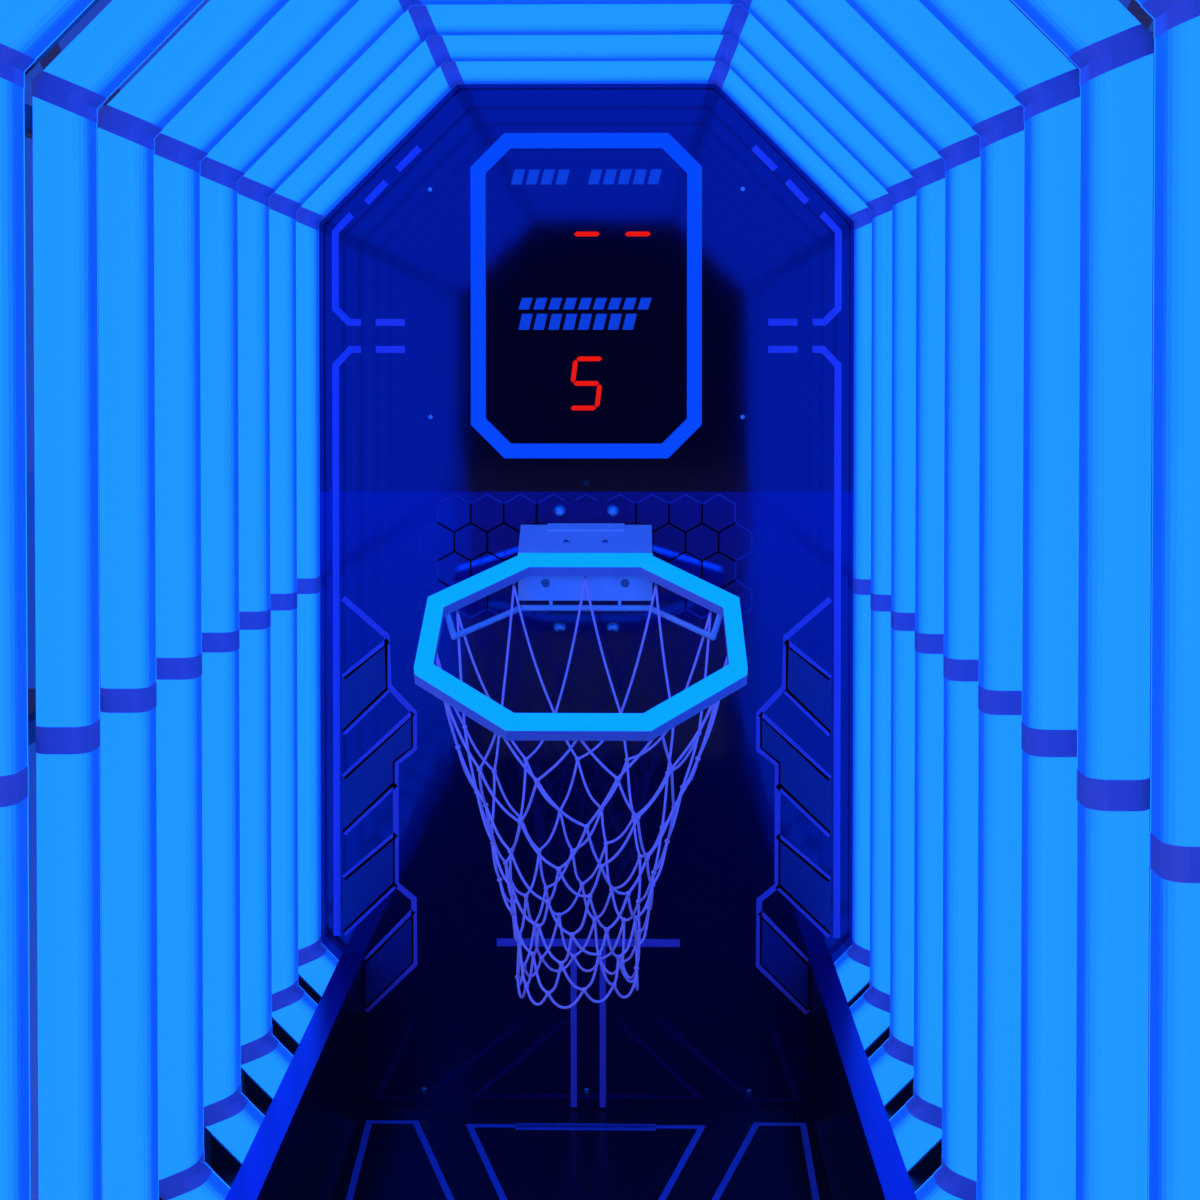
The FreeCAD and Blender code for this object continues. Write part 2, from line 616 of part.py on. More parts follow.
def make_electrics():
    """Power supply, main board, score sensor and mains inlet."""
    save("power_supply", [box(-200.0, -60.0, 1480.0, 1560.0, FRAME_Z1 + 12.0, 250.0)])
    board = box(-420.0, -330.0, CABINET_Y + 8.0, CABINET_Y + 10.0, 1000.0, 1260.0)
    chips = [box(-400.0, -360.0, CABINET_Y + 10.0, CABINET_Y + 16.0, z, z + 40.0) for z in (1030.0, 1130.0)]
    pegs = []
    for x in (-412.0, -338.0):
        for z in (1010.0, 1250.0):
            pegs.append(Part.makeCylinder(3.0, 8.0, V(x, CABINET_Y, z), V(0, 1, 0)))
    save("main_board", [board.fuse(chips + pegs)])
    shell = box(178.0, 222.0, CABINET_BACK - BOARD - 14.0, CABINET_BACK, 238.0, 262.0)
    flange = box(172.0, 228.0, CABINET_BACK, CABINET_BACK + 3.0, 232.0, 268.0)
    inlet = shell.fuse(flange)
    inlet = inlet.cut(box(184.0, 216.0, CABINET_BACK - 20.0, CABINET_BACK + 4.0, 241.0, 259.0))
    for x, z in ((191.0, 245.0), (209.0, 245.0), (200.0, 250.5)):
        blade = box(x - 2.0, x + 2.0, CABINET_BACK - BOARD - 14.0, CABINET_BACK - 5.0, z - 1.0, z + 1.0)
        inlet = inlet.fuse(blade)
    back = box(178.0, 222.0, CABINET_BACK - BOARD - 14.0, CABINET_BACK - BOARD - 11.0, 238.0, 262.0)
    save("mains_inlet", [inlet.fuse(back)])


# ---------------------------------------------------------------- back wall and display

def bolt_spots():
    """Middle of each hoop bolt, in X and Z."""
    return [(x, BOLT_CZ + z) for x in (-BOLT_X, BOLT_X) for z in (-BOLT_Z, BOLT_Z)]


def bolt_holes(radius):
    """Round holes for the hoop bolts."""
    return [Part.makeCylinder(radius, 80.0, V(x, BACK_Y - 30.0, z), V(0, 1, 0)) for x, z in bolt_spots()]


def make_back_panel():
    """Lower glossy panel, its three screws and the four screws of the bracket."""
    half = AXIS_X + HOOP_IN - 1.0
    panel = box(-half, half, BACK_Y, CABINET_Y, 700.0, SPLIT_Z)
    save("back_panel", [panel.cut(bolt_holes(6.3))])
    edge = plate_point(0, None)
    screws = []
    for x in (-309.0, 0.0, 309.0):
        screws.append(Part.makeCone(6.0, 4.0, 2.5, V(x, BACK_Y, 868.0), V(0, -1, 0)))
    for x in (-36.0, 36.0):
        foot = plate_point(x, 1334.0)
        screws.append(Part.makeCone(6.0, 4.0, 2.5, foot, V(0, -LIP_TOP_Z + edge.z, 1388.0 - edge.y)))
    for x in (-294.0, 294.0):
        for z in (2148.0, 2576.0):
            screws.append(Part.makeCylinder(4.0, 1.5, V(x, BACK_Y - 1.5, z), V(0, 1, 0)))
    save("panel_screws", screws)


def digit_boxes():
    """Block of each digit: X and Z limits."""
    spots = [(x, CLOCK_Z) for x in CLOCK_X] + [(0.0, SCORE_Z)]
    return [(x - 42.0, x + 42.0, z - 61.0, z + 61.0) for x, z in spots]


def make_display():
    """Upper smoked panel, the digit blocks behind it and their segments, shown on its face."""
    panel = prism_xz(arch_fill(HOOP_IN - 1.0, SPLIT_Z), BACK_Y, CABINET_Y)
    panel = panel.cut(Part.makeCylinder(6.0, BACK_T, V(0, BACK_Y, SPLIT_Z + 16.0), V(0, 1, 0)))
    save("display_panel", [panel])
    blocks = [box(x0, x1, CABINET_Y, CABINET_Y + 30.0, z0, z1) for x0, x1, z0, z1 in digit_boxes()]
    save("digit_modules", blocks)
    lens = Part.makeCylinder(6.0, BACK_T, V(0, BACK_Y, SPLIT_Z + 16.0), V(0, 1, 0))
    save("score_sensor", [lens, box(-16.0, 16.0, CABINET_Y, CABINET_Y + 24.0, SPLIT_Z + 2.0, SPLIT_Z + 32.0)])
    bars = []
    for x in CLOCK_X:
        bars += digit(x, CLOCK_Z)
    save("digit_segments", bars + digit(0.0, SCORE_Z))


def digit(x, z):
    """Seven bars of one digit."""
    y0 = BACK_Y - 0.6
    y1 = BACK_Y
    w = DIGIT_W / 2
    h = DIGIT_H / 2
    s = SEGMENT / 2
    bars = []
    for level in (-h + s, 0.0, h - s):
        bars.append(box(x - w + 2 * s + 1, x + w - 2 * s - 1, y0, y1, z + level - s, z + level + s))
    for side in (-1, 1):
        middle = x + side * (w - s)
        bars.append(box(middle - s, middle + s, y0, y1, z + s + 1, z + h - s))
        bars.append(box(middle - s, middle + s, y0, y1, z - h + s, z - s - 1))
    return bars


def octagon(half_w, half_h, cut):
    """Corners of a rectangle with its corners cut off, in order."""
    return [(half_w, -half_h + cut), (half_w, half_h - cut), (half_w - cut, half_h), (-half_w + cut, half_h),
            (-half_w, half_h - cut), (-half_w, -half_h + cut), (-half_w + cut, -half_h), (half_w - cut, -half_h)]


def make_light_frame():
    """Eight mitred bars of the lit frame around the digits."""
    outer = octagon(FRAME_HALF_W, FRAME_HALF_H, FRAME_CUT)
    shrink = FRAME_CUT - FRAME_FACE * (2 - math.sqrt(2))
    inner = octagon(FRAME_HALF_W - FRAME_FACE, FRAME_HALF_H - FRAME_FACE, shrink)
    bars = []
    for i in range(8):
        j = (i + 1) % 8
        loop = [outer[i], outer[j], inner[j], inner[i]]
        bars.append(prism_xz([(x, z + FRAME_CZ) for x, z in loop], BACK_Y - 14.0, BACK_Y))
    save("display_light_frame", bars)


# ---------------------------------------------------------------- hoop

def ring_normal():
    """Upward normal of the tilted ring."""
    turn = math.radians(RING_TILT)
    return V(0, -math.sin(turn), math.cos(turn))


def ring_point(x, y):
    """Point of the ring's top plane."""
    return V(x, y, RING_C.z + (y - RING_C.y) * math.tan(math.radians(RING_TILT)))


def to_ring(shape):
    """Move a shape built flat around the origin into the tilted ring frame."""
    placed = shape.copy()
    placed.rotate(V(0, 0, 0), V(1, 0, 0), RING_TILT)
    placed.translate(RING_C)
    return placed


def ring_bar(index, outer, inner, w0, w1):
    """One mitred side of the eight-sided ring, flat around the origin."""
    start = math.radians(45.0 * index - 22.5)
    end = math.radians(45.0 * index + 22.5)
    scale = 1.0 / math.cos(math.radians(22.5))
    corners = []
    for radius, angle in ((outer, start), (outer, end), (inner, end), (inner, start)):
        corners.append(V(radius * scale * math.cos(angle), radius * scale * math.sin(angle), w0))
    face = Part.Face(Part.makePolygon(corners + [corners[0]]))
    return face.extrude(V(0, 0, w1 - w0))


def make_ring():
    """Ring: lit top bar and the channel under it. Returns the light strips inside."""
    inner = RING_A - RING_FACE
    mid = -DIFFUSER_H
    low = -DIFFUSER_H - CHANNEL_H
    tops = []
    channels = []
    strips = []
    for i in range(8):
        tops.append(to_ring(ring_bar(i, RING_A, inner, mid, 0.0)))
        channel = ring_bar(i, RING_A, inner, low, mid)
        hollow = ring_bar(i, RING_A - CHANNEL_WALL, inner + CHANNEL_WALL, low + CHANNEL_WALL, mid)
        channels.append(to_ring(channel.cut(hollow)))
        strip = ring_bar(i, RING_A - 8.0, inner + 8.0, low + CHANNEL_WALL, low + CHANNEL_WALL + 2.0)
        strips.append(to_ring(strip))
    save("ring_diffuser", tops)
    save("ring_channel", channels)
    return strips


def plate_point(x, y):
    """Point on top of the bracket's upper plate; at the ring when no depth is given."""
    edge = to_ring(Part.Vertex(V(0, RING_A, 0))).Point
    if y is None:
        return edge
    return V(x, y, edge.z + (y - edge.y) * (LIP_TOP_Z - edge.z) / (1388.0 - edge.y))


def face_plate_y():
    """Front of the bracket's face plate, under the back bar of the ring."""
    return RING_C.y + RING_A * math.cos(math.radians(RING_TILT)) + 5.0


def make_bracket():
    """Steel bracket between the ring and the back panel, and the plates on both sides of the panel."""
    turn = math.tan(math.radians(RING_TILT))
    back = V(0, RING_A, 0)
    edge = to_ring(Part.Vertex(back)).Point
    lower = to_ring(Part.Vertex(back - V(0, 0, DIFFUSER_H + CHANNEL_H))).Point
    skin = to_ring(Part.Vertex(back - V(0, 0, BRACKET_T))).Point
    y1 = 1388.0
    rise = LIP_TOP_Z - edge.z
    slope = rise / (y1 - edge.y)
    drop = BRACKET_T / math.cos(math.radians(RING_TILT))
    top = prism_yz([(edge.y, edge.z), (y1, edge.z + rise), (y1, edge.z + rise - drop), (skin.y, skin.z)],
                   -BRACKET_X, BRACKET_X)
    start = y1 - 20.0
    raised = prism_yz([(start, edge.z + (start - edge.y) * slope), (y1, edge.z + rise),
                       (y1, edge.z + rise + 3.0), (start, edge.z + (start - edge.y) * slope + 3.0)], -72.0, 72.0)
    face_y = face_plate_y()
    under = lower.z + (face_y - lower.y) * turn
    face = prism_yz([(face_y, FACE_LOW_Z), (face_y, under), (face_y + BRACKET_T, under + BRACKET_T * turn),
                     (face_y + BRACKET_T, FACE_LOW_Z)], -BRACKET_X, BRACKET_X)
    for x in (-73.0, 73.0):
        face = face.cut(Part.makeCylinder(8.0, 20.0, V(x, face_y - 5.0, 1845.0), V(0, 1, 0)))
    start = face_y + BRACKET_T
    web = prism_yz([(start, 1830.0), (start, lower.z + (start - lower.y) * turn), (lower.y + 0.2, lower.z),
                    (1320.0, edge.z + (1320.0 - edge.y) * slope - drop), (y1, edge.z + rise - drop),
                    (y1, LIP_LOW_Z)], 84.0, 90.0)
    lip = box(-BRACKET_X, BRACKET_X, y1, BACK_Y - PLATE_T, LIP_LOW_Z, edge.z + rise)
    tab = box(60.0, 66.0, face_y, face_y + BRACKET_T, BRACE_Z + BRACE_R, FACE_LOW_Z)
    save("hoop_bracket", [top, raised, face, lip] + both(web) + both(tab))
    plate = box(-72.0, 72.0, BACK_Y - PLATE_T, BACK_Y, 1734.0, 1989.0)
    backing = box(-90.0, 90.0, CABINET_Y, CABINET_Y + 6.0, 1724.0, 1999.0)
    save("hoop_plates", [plate.cut(bolt_holes(6.3)), backing.cut(bolt_holes(6.3))])


def bolt(x, z):
    """Dome-head bolt through the plates with its nut."""
    y = BACK_Y - PLATE_T
    ball = Part.makeSphere(13.0, V(x, y + 5.0, z)).common(box(x - 14, x + 14, y - 9, y, z - 14, z + 14))
    shank = Part.makeCylinder(6.0, 44.0, V(x, y, z), V(0, 1, 0))
    nut = Part.makeCylinder(10.0, 10.0, V(x, CABINET_Y + 6.0, z), V(0, 1, 0))
    return ball.fuse([shank, nut])


def make_bolts():
    """Four bolts that hold the hoop."""
    save("hoop_bolts", [bolt(x, z) for x, z in bolt_spots()])


def make_brace():
    """Bent rod under the face plate that holds up both sides of the ring."""
    under = ring_point(247.0, 1150.0) - ring_normal() * (DIFFUSER_H + CHANNEL_H)
    middle = V(BRACE_X, face_plate_y() + BRACKET_T / 2, BRACE_Z)
    bend = V(226.0, 1150.0, 1769.0)
    end = V(247.0, under.y + 12.0, under.z + 20.0)
    slab = box(-400.0, 400.0, -400.0, 400.0, -DIFFUSER_H - CHANNEL_H, 60.0)
    tip = rod(bend, end, BRACE_R).cut(to_ring(slab))
    sides = both(rod(middle, bend, BRACE_R)) + both(tip)
    corners = both(Part.makeSphere(BRACE_R, middle)) + both(Part.makeSphere(BRACE_R, bend))
    across = rod(middle, V(-middle.x, middle.y, middle.z), BRACE_R)
    save("ring_brace", [across.fuse(sides + corners)])


def make_net():
    """Net hooks under the ring and the net as a thin tapered skin."""
    inset = RING_A - RING_FACE + 5.0
    low = -DIFFUSER_H - CHANNEL_H
    hooks = []
    for i in range(12):
        angle = math.radians(30.0 * i)
        facet = math.radians((30.0 * i + 22.5) % 45.0 - 22.5)
        radius = inset / math.cos(facet)
        spot = V(radius * math.cos(angle), radius * math.sin(angle), low - HOOK_DROP)
        hooks.append(to_ring(Part.makeCylinder(2.0, HOOK_DROP, spot)))
    save("net_hooks", hooks)
    save("net", [net_cone(NET_TOP_R, NET_LOW_R).cut(net_cone(NET_TOP_R - NET_T, NET_LOW_R - NET_T))])


def net_cone(top_r, low_r):
    """Loft from a tilted circle under the ring to a level circle at the foot of the net."""
    top = RING_C - ring_normal() * (DIFFUSER_H + CHANNEL_H + 6.0)
    upper = Part.Wire(Part.makeCircle(top_r, top, ring_normal()))
    lower = Part.Wire(Part.makeCircle(low_r, V(0, RING_C.y, NET_LOW_Z), V(0, 0, 1)))
    return Part.makeLoft([lower, upper], True, True)


# ---------------------------------------------------------------- castors

def castor_fork(x, y):
    """Swivel fork: top plate, two cheeks and the axle."""
    top = Part.makeCylinder(24.0, 8.0, V(x, y, FRAME_Z0 - 16.0))
    pivot = Part.makeCylinder(5.0, 12.0, V(x, y, FRAME_Z0 - 12.0))
    axle_y = y - CASTOR_TRAIL
    cheeks = []
    for side in (-1, 1):
        x0 = x + side * (WHEEL_W / 2 + 2.5) - 1.5
        profile = [(y + 12.0, FRAME_Z0 - 15.0), (y - 20.0, FRAME_Z0 - 15.0), (axle_y - 8.0, WHEEL_CZ - 6.0),
                   (axle_y + 8.0, WHEEL_CZ - 6.0)]
        cheeks.append(prism_yz(profile, x0, x0 + 3.0))
    axle = Part.makeCylinder(4.0, WHEEL_W + 12.0, V(x - WHEEL_W / 2 - 6.0, axle_y, WHEEL_CZ), V(1, 0, 0))
    return top.fuse([pivot] + cheeks + [axle])


def castor_wheel(x, y):
    """Castor wheel with a bore for its axle."""
    axle_y = y - CASTOR_TRAIL
    wheel = Part.makeCylinder(WHEEL_R, WHEEL_W, V(x - WHEEL_W / 2, axle_y, WHEEL_CZ), V(1, 0, 0))
    return wheel.cut(Part.makeCylinder(4.05, WHEEL_W, V(x - WHEEL_W / 2, axle_y, WHEEL_CZ), V(1, 0, 0)))


def castor_spots():
    """Names and places of the four castors."""
    return {"front_left": (-CASTOR_X, -CASTOR_Y), "front_right": (CASTOR_X, -CASTOR_Y),
            "rear_left": (-CASTOR_X, CASTOR_Y), "rear_right": (CASTOR_X, CASTOR_Y)}


def make_castors():
    """Four castors, each a fork and a wheel."""
    for name, (x, y) in castor_spots().items():
        save("castor_fork_" + name, [castor_fork(x, y)])
        save("castor_wheel_" + name, [castor_wheel(x, y)])


def main():
    """Build every node."""
    os.makedirs("parts", exist_ok=True)
    make_tubes(make_ring())
    make_couplers()
    make_sockets()
    make_cage()
    make_base_frame()
    make_feet()
    make_side_panels()
    make_shoulders()
    make_deck()
    make_gate()
    make_button(*make_front())
    make_coin_door()
    make_speakers()
    make_cabinet()
    make_rear_door()
    make_fan()
    make_electrics()
    make_back_panel()
    make_display()
    make_light_frame()
    make_bracket()
    make_bolts()
    make_brace()
    make_net()
    make_castors()


main()
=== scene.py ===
"""Looks of the basketball hoop machine: materials, printed lines, digits, net, stage and camera."""
import json
import math
import random

import bmesh  # noqa: E402
import bpy  # noqa: E402
from mathutils import Matrix, Vector  # noqa: E402


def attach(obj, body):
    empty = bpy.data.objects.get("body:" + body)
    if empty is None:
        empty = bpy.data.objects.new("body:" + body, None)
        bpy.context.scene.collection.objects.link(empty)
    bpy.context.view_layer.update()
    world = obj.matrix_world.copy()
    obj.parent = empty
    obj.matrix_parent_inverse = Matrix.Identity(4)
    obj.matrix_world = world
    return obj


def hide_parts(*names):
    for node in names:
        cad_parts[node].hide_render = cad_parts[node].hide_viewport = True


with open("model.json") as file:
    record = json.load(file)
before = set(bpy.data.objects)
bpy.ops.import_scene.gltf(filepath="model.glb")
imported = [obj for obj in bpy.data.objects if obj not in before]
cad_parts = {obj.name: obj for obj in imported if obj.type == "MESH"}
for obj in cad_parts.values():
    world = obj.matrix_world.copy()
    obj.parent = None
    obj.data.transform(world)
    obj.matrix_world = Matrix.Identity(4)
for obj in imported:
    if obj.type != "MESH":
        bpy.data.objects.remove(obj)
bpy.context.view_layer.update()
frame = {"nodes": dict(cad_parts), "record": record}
NODES = frame["nodes"]

# camera
LENS = 52.56
SENSOR = 36.0
CAMERA_AT = (0.069, -1.900, 2.220)
PITCH_DOWN = 1.0
YAW_LEFT = 0.75
SHIFT_Y = -0.159

# shared levels, in metres
BACK_Y = 1.400
PRINT_LIFT = 0.0006
PRINT_T = 0.0003
DECK_BACK_Z = 0.834
DECK_SLOPE = 0.07
RING_C = Vector((0.0, 1.050, 1.794))
RING_TILT = math.radians(23.2)
RING_A = 0.2720
RING_FACE = 0.028
RING_DEPTH = 0.032


# ---------------------------------------------------------------- materials

def paint(name, colour, rough, metal=0.0, alpha=1.0, ior=1.5, tint=None, coat=0.0):
    """Principled material with plain values."""
    made = bpy.data.materials.new(name)
    made.use_nodes = True
    shader = made.node_tree.nodes["Principled BSDF"]
    shader.inputs["Base Color"].default_value = (*colour, 1.0)
    shader.inputs["Roughness"].default_value = rough
    shader.inputs["Metallic"].default_value = metal
    shader.inputs["Alpha"].default_value = alpha
    shader.inputs["IOR"].default_value = ior
    shader.inputs["Coat Weight"].default_value = coat
    if tint:
        shader.inputs["Specular Tint"].default_value = (*tint, 1.0)
    return made


def lamp(name, colour, strength, base=(0.02, 0.05, 0.2), ior=1.5):
    """Lit material: emission on top of a plain base."""
    made = paint(name, base, 0.35, ior=ior)
    shader = made.node_tree.nodes["Principled BSDF"]
    shader.inputs["Emission Color"].default_value = (*colour, 1.0)
    shader.inputs["Emission Strength"].default_value = strength
    return made


def wavy(made, scale, stretch, strength, distance):
    """Adds a faint unevenness to a glossy surface."""
    tree = made.node_tree
    place = tree.nodes.new("ShaderNodeTexCoord")
    mapping = tree.nodes.new("ShaderNodeMapping")
    mapping.inputs["Scale"].default_value = stretch
    noise = tree.nodes.new("ShaderNodeTexNoise")
    noise.inputs["Scale"].default_value = scale
    noise.inputs["Detail"].default_value = 3.0
    bump = tree.nodes.new("ShaderNodeBump")
    bump.inputs["Strength"].default_value = strength
    bump.inputs["Distance"].default_value = distance
    tree.links.new(place.outputs["Object"], mapping.inputs["Vector"])
    tree.links.new(mapping.outputs["Vector"], noise.inputs["Vector"])
    tree.links.new(noise.outputs["Fac"], bump.inputs["Height"])
    tree.links.new(bump.outputs["Normal"], tree.nodes["Principled BSDF"].inputs["Normal"])
    return made


def paint_light_by_height(made, low_z, high_z, low_colour, painted_light_colour):
    """Colours a surface from one level to another, in the piece's own frame; used for painted light, lighter
    higher up.
    """
    tree = made.node_tree
    place = tree.nodes.new("ShaderNodeTexCoord")
    split = tree.nodes.new("ShaderNodeSeparateXYZ")
    level = tree.nodes.new("ShaderNodeMapRange")
    level.inputs["From Min"].default_value = low_z
    level.inputs["From Max"].default_value = high_z
    blend = tree.nodes.new("ShaderNodeMix")
    blend.data_type = "RGBA"
    blend.inputs["A"].default_value = (*low_colour, 1.0)
    blend.inputs["B"].default_value = (*painted_light_colour, 1.0)
    tree.links.new(place.outputs["Object"], split.inputs["Vector"])
    tree.links.new(split.outputs["Z"], level.inputs["Value"])
    tree.links.new(level.outputs["Result"], blend.inputs["Factor"])
    tree.links.new(blend.outputs["Result"], tree.nodes["Principled BSDF"].inputs["Base Color"])
    return made


TUBE_COLOUR = (0.004, 0.1017, 1.0)
TUBE_POWER = 3.0
GRAIN = 5.0
GRAIN_STRETCH = (1.0, 1.0, 0.25)
GRAIN_DEPTH = 0.01
PANEL_DARK = (0.002, 0.007, 0.045)
# Painted light on the back wall: its colour runs from the dark base low down (painted shade) to a lighter
# blue higher up, where the tubes light it.
PANEL_PAINTED_LIGHT = (0.005, 0.011, 0.17)
PANEL_PAINTED_LIGHT_Z = (1.60, 1.98)
MATERIALS = {
    "milky_tube": lamp("milky_tube", TUBE_COLOUR, TUBE_POWER),
    "ring_light": lamp("ring_light", (0.0005, 0.127, 1.0), 3.0),
    "frame_light": lamp("frame_light", (0.0, 0.05, 1.0), 1.0),
    "digit_light": lamp("digit_light", (1.0, 0.012, 0.008), 0.8, (0.02, 0.0, 0.0), ior=1.03),
    "strip_light": lamp("strip_light", (0.002, 0.1017, 1.0), 3.0),
    # pale_plastic: faint blue glow painted on the pale sleeve fronts, standing in for the tube light falling
    # on them.
    "pale_plastic": lamp("pale_plastic", (0.02, 0.08, 1.0), 0.25, (0.30, 0.22, 0.50)),
    "black_plastic": paint("black_plastic", (0.012, 0.012, 0.015), 0.4),
    "black_paint": paint("black_paint", (0.012, 0.012, 0.015), 0.45),
    "tinted_sheet": paint("tinted_sheet", (0.01, 0.01, 0.015), 0.05, alpha=0.75),
    "frame_paint": paint("frame_paint", (0.02, 0.02, 0.022), 0.6),
    "panel_laminate": paint("panel_laminate", (0.012, 0.012, 0.016), 0.35),
    "deck_laminate": wavy(paint("deck_laminate", (0.008, 0.010, 0.03), 0.22),
                          6.0, (1, 1, 1), 0.05, GRAIN_DEPTH),
    # gloss_back: painted light, lighter blue towards the top of the back wall and painted shade towards the
    # bottom.
    "gloss_back": paint_light_by_height(wavy(paint("gloss_back", PANEL_DARK, 0.07, ior=1.85, tint=(0.3, 0.33, 1.0)),
                            GRAIN, GRAIN_STRETCH, 0.1, GRAIN_DEPTH),
                       *PANEL_PAINTED_LIGHT_Z, PANEL_DARK, PANEL_PAINTED_LIGHT),
    "display_black": wavy(paint("display_black", (0.001, 0.002, 0.012), 0.07, ior=2.0, tint=(0.4, 0.28, 1.0)),
                          GRAIN, GRAIN_STRETCH, 0.06, GRAIN_DEPTH),
    "cap_metal": paint("cap_metal", (0.12, 0.03, 0.30), 0.3, metal=1.0),
    "bracket_white": paint("bracket_white", (0.85, 0.95, 0.95), 0.35),
    "ring_white": paint("ring_white", (0.7, 0.5, 0.7), 0.4),
    "zinc": paint("zinc", (0.6, 0.6, 0.62), 0.35, metal=1.0),
    "bolt_steel": paint("bolt_steel", (0.7, 0.7, 0.75), 0.3, metal=1.0),
    # net_cord: pale cord with a faint blue glow, painted light standing in for the tube light falling on the
    # net.
    "net_cord": lamp("net_cord", (0.18, 0.13, 1.0), 0.16, (0.95, 0.72, 0.95)),
    "button_red": paint("button_red", (0.7, 0.02, 0.02), 0.2, coat=0.5),
    "coin_steel": paint("coin_steel", (0.35, 0.35, 0.37), 0.35, metal=1.0),
    "lock_chrome": paint("lock_chrome", (0.75, 0.75, 0.76), 0.15, metal=1.0),
    "green_board": paint("green_board", (0.02, 0.15, 0.05), 0.4),
    "grey_steel": paint("grey_steel", (0.45, 0.46, 0.47), 0.4, metal=1.0),
    "wheel_rubber": paint("wheel_rubber", (0.1, 0.1, 0.1), 0.6),
    "foot_rubber": paint("foot_rubber", (0.03, 0.03, 0.03), 0.6),
}
PRINT_LINE = paint("print_line", (0.30, 0.17, 0.65), 0.4)
PRINT_FILL = paint("print_fill", (0.03, 0.04, 0.22), 0.3)
PRINT_DECK = paint("print_deck", (0.16, 0.24, 0.80), 0.4)
PRINT_HEX = paint("print_hex", (0.025, 0.040, 0.32), 0.4)
MARK_BLUE = lamp("mark_blue", (0.003, 0.05, 0.75), 0.8, (0.0, 0.01, 0.05))
RING_BACK_GLOW = lamp("ring_back_glow", (0.0, 0.09, 1.0), 16.0)


def dress_cad():
    """Puts the new materials on the slots of the CAD pieces."""
    for part in frame["record"]["subparts"]:
        piece = NODES[part["node"]]
        for place in piece.material_slots:
            place.material = MATERIALS[part["material_slot"]]


# ---------------------------------------------------------------- mesh helpers

def add_mesh(name, verts, faces, material, smooth=False):
    """Mesh piece that rides on the machine."""
    mesh = bpy.data.meshes.new(name)
    mesh.from_pydata([tuple(v) for v in verts], [], faces)
    mesh.materials.append(material)
    work = bmesh.new()
    work.from_mesh(mesh)
    bmesh.ops.recalc_face_normals(work, faces=work.faces)
    work.to_mesh(mesh)
    work.free()
    if smooth:
        mesh.polygons.foreach_set("use_smooth", [True] * len(mesh.polygons))
    piece = bpy.data.objects.new(name, mesh)
    bpy.context.scene.collection.objects.link(piece)
    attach(piece, "machine")
    return piece


class Shape:
    """Collects flat pieces into one mesh."""

    def __init__(self, place):
        """Starts an empty mesh on the surface that place describes."""
        self.place = place
        self.verts = []
        self.faces = []

    def polygon(self, points):
        """Thin plate with this outline, given in the flat frame."""
        start = len(self.verts)
        count = len(points)
        for depth in (0.0, PRINT_T):
            self.verts += [self.place(u, v, depth) for u, v in points]
        self.faces.append([start + count + i for i in range(count)])
        self.faces.append([start + i for i in reversed(range(count))])
        for i in range(count):
            j = (i + 1) % count
            self.faces.append([start + i, start + j, start + count + j, start + count + i])

    def line(self, points, width):
        """Line of straight parts with mitred corners."""
        left, right = offset_line(points, width / 2)
        for i in range(len(points) - 1):
            self.polygon([left[i], left[i + 1], right[i + 1], right[i]])

    def both(self, action, points, *rest):
        """Draws a shape and its mirror image across the middle."""
        action(points, *rest)
        action([(-u, v) for u, v in reversed(points)], *rest)


def offset_line(points, half):
    """Two lines parallel to a line of straight parts, mitred at its corners."""
    left = []
    right = []
    for i, point in enumerate(points):
        here = Vector(point)
        before = (here - Vector(points[i - 1])).normalized() if i else None
        after = (Vector(points[i + 1]) - here).normalized() if i < len(points) - 1 else None
        way = ((before or after) + (after or before)).normalized()
        normal = Vector((-way.y, way.x))
        reach = half / max(0.4, way.dot(after or before))
        left.append(tuple(here + normal * reach))
        right.append(tuple(here - normal * reach))
    return left, right


def on_back(u, v, depth):
    """Point just in front of the back wall."""
    return Vector((u, BACK_Y - PRINT_LIFT - depth, v))


def on_deck(u, back, depth):
    """Point just above the deck, at a distance in front of the back wall."""
    z = DECK_BACK_Z - DECK_SLOPE * back
    return Vector((u, BACK_Y - back, z + PRINT_LIFT + depth))


def mm(points):
    """Millimetres to metres."""
    return [(u / 1000.0, v / 1000.0) for u, v in points]


# ---------------------------------------------------------------- light tubes

TUBE_HALF = 0.030
SLEEVE_HALF = 0.0305
TUBE_CORNER = 0.018
TUBE_GAP = 0.0145
CORNER_PARTS = 5
ARCH_HALF = ((0.440, 1.053), (0.530, 1.143), (0.530, 1.835), (0.530, 2.524), (0.254, 2.800))
ARCH_YS = [-1.407 + i * 0.231 for i in range(13)]
TUBE_NODES = {"roof_tubes": (4,), "shoulder_tubes": (3, 5), "upper_side_tubes": (2, 6),
              "lower_side_tubes": (1, 7), "foot_tubes": (0, 8)}
# Glow levels of the tube facets: the lower levels are painted shade on the inner corner and the inner side of
# each tube.
CORNER_GLOW_WITH_PAINTED_SHADE = (1.0, 0.95, 0.85, 0.65, 0.4)
SIDE_GLOW_WITH_PAINTED_SHADE = 0.3
FOOT_END_X = 0.463
FOOT_END_Z = 1.054


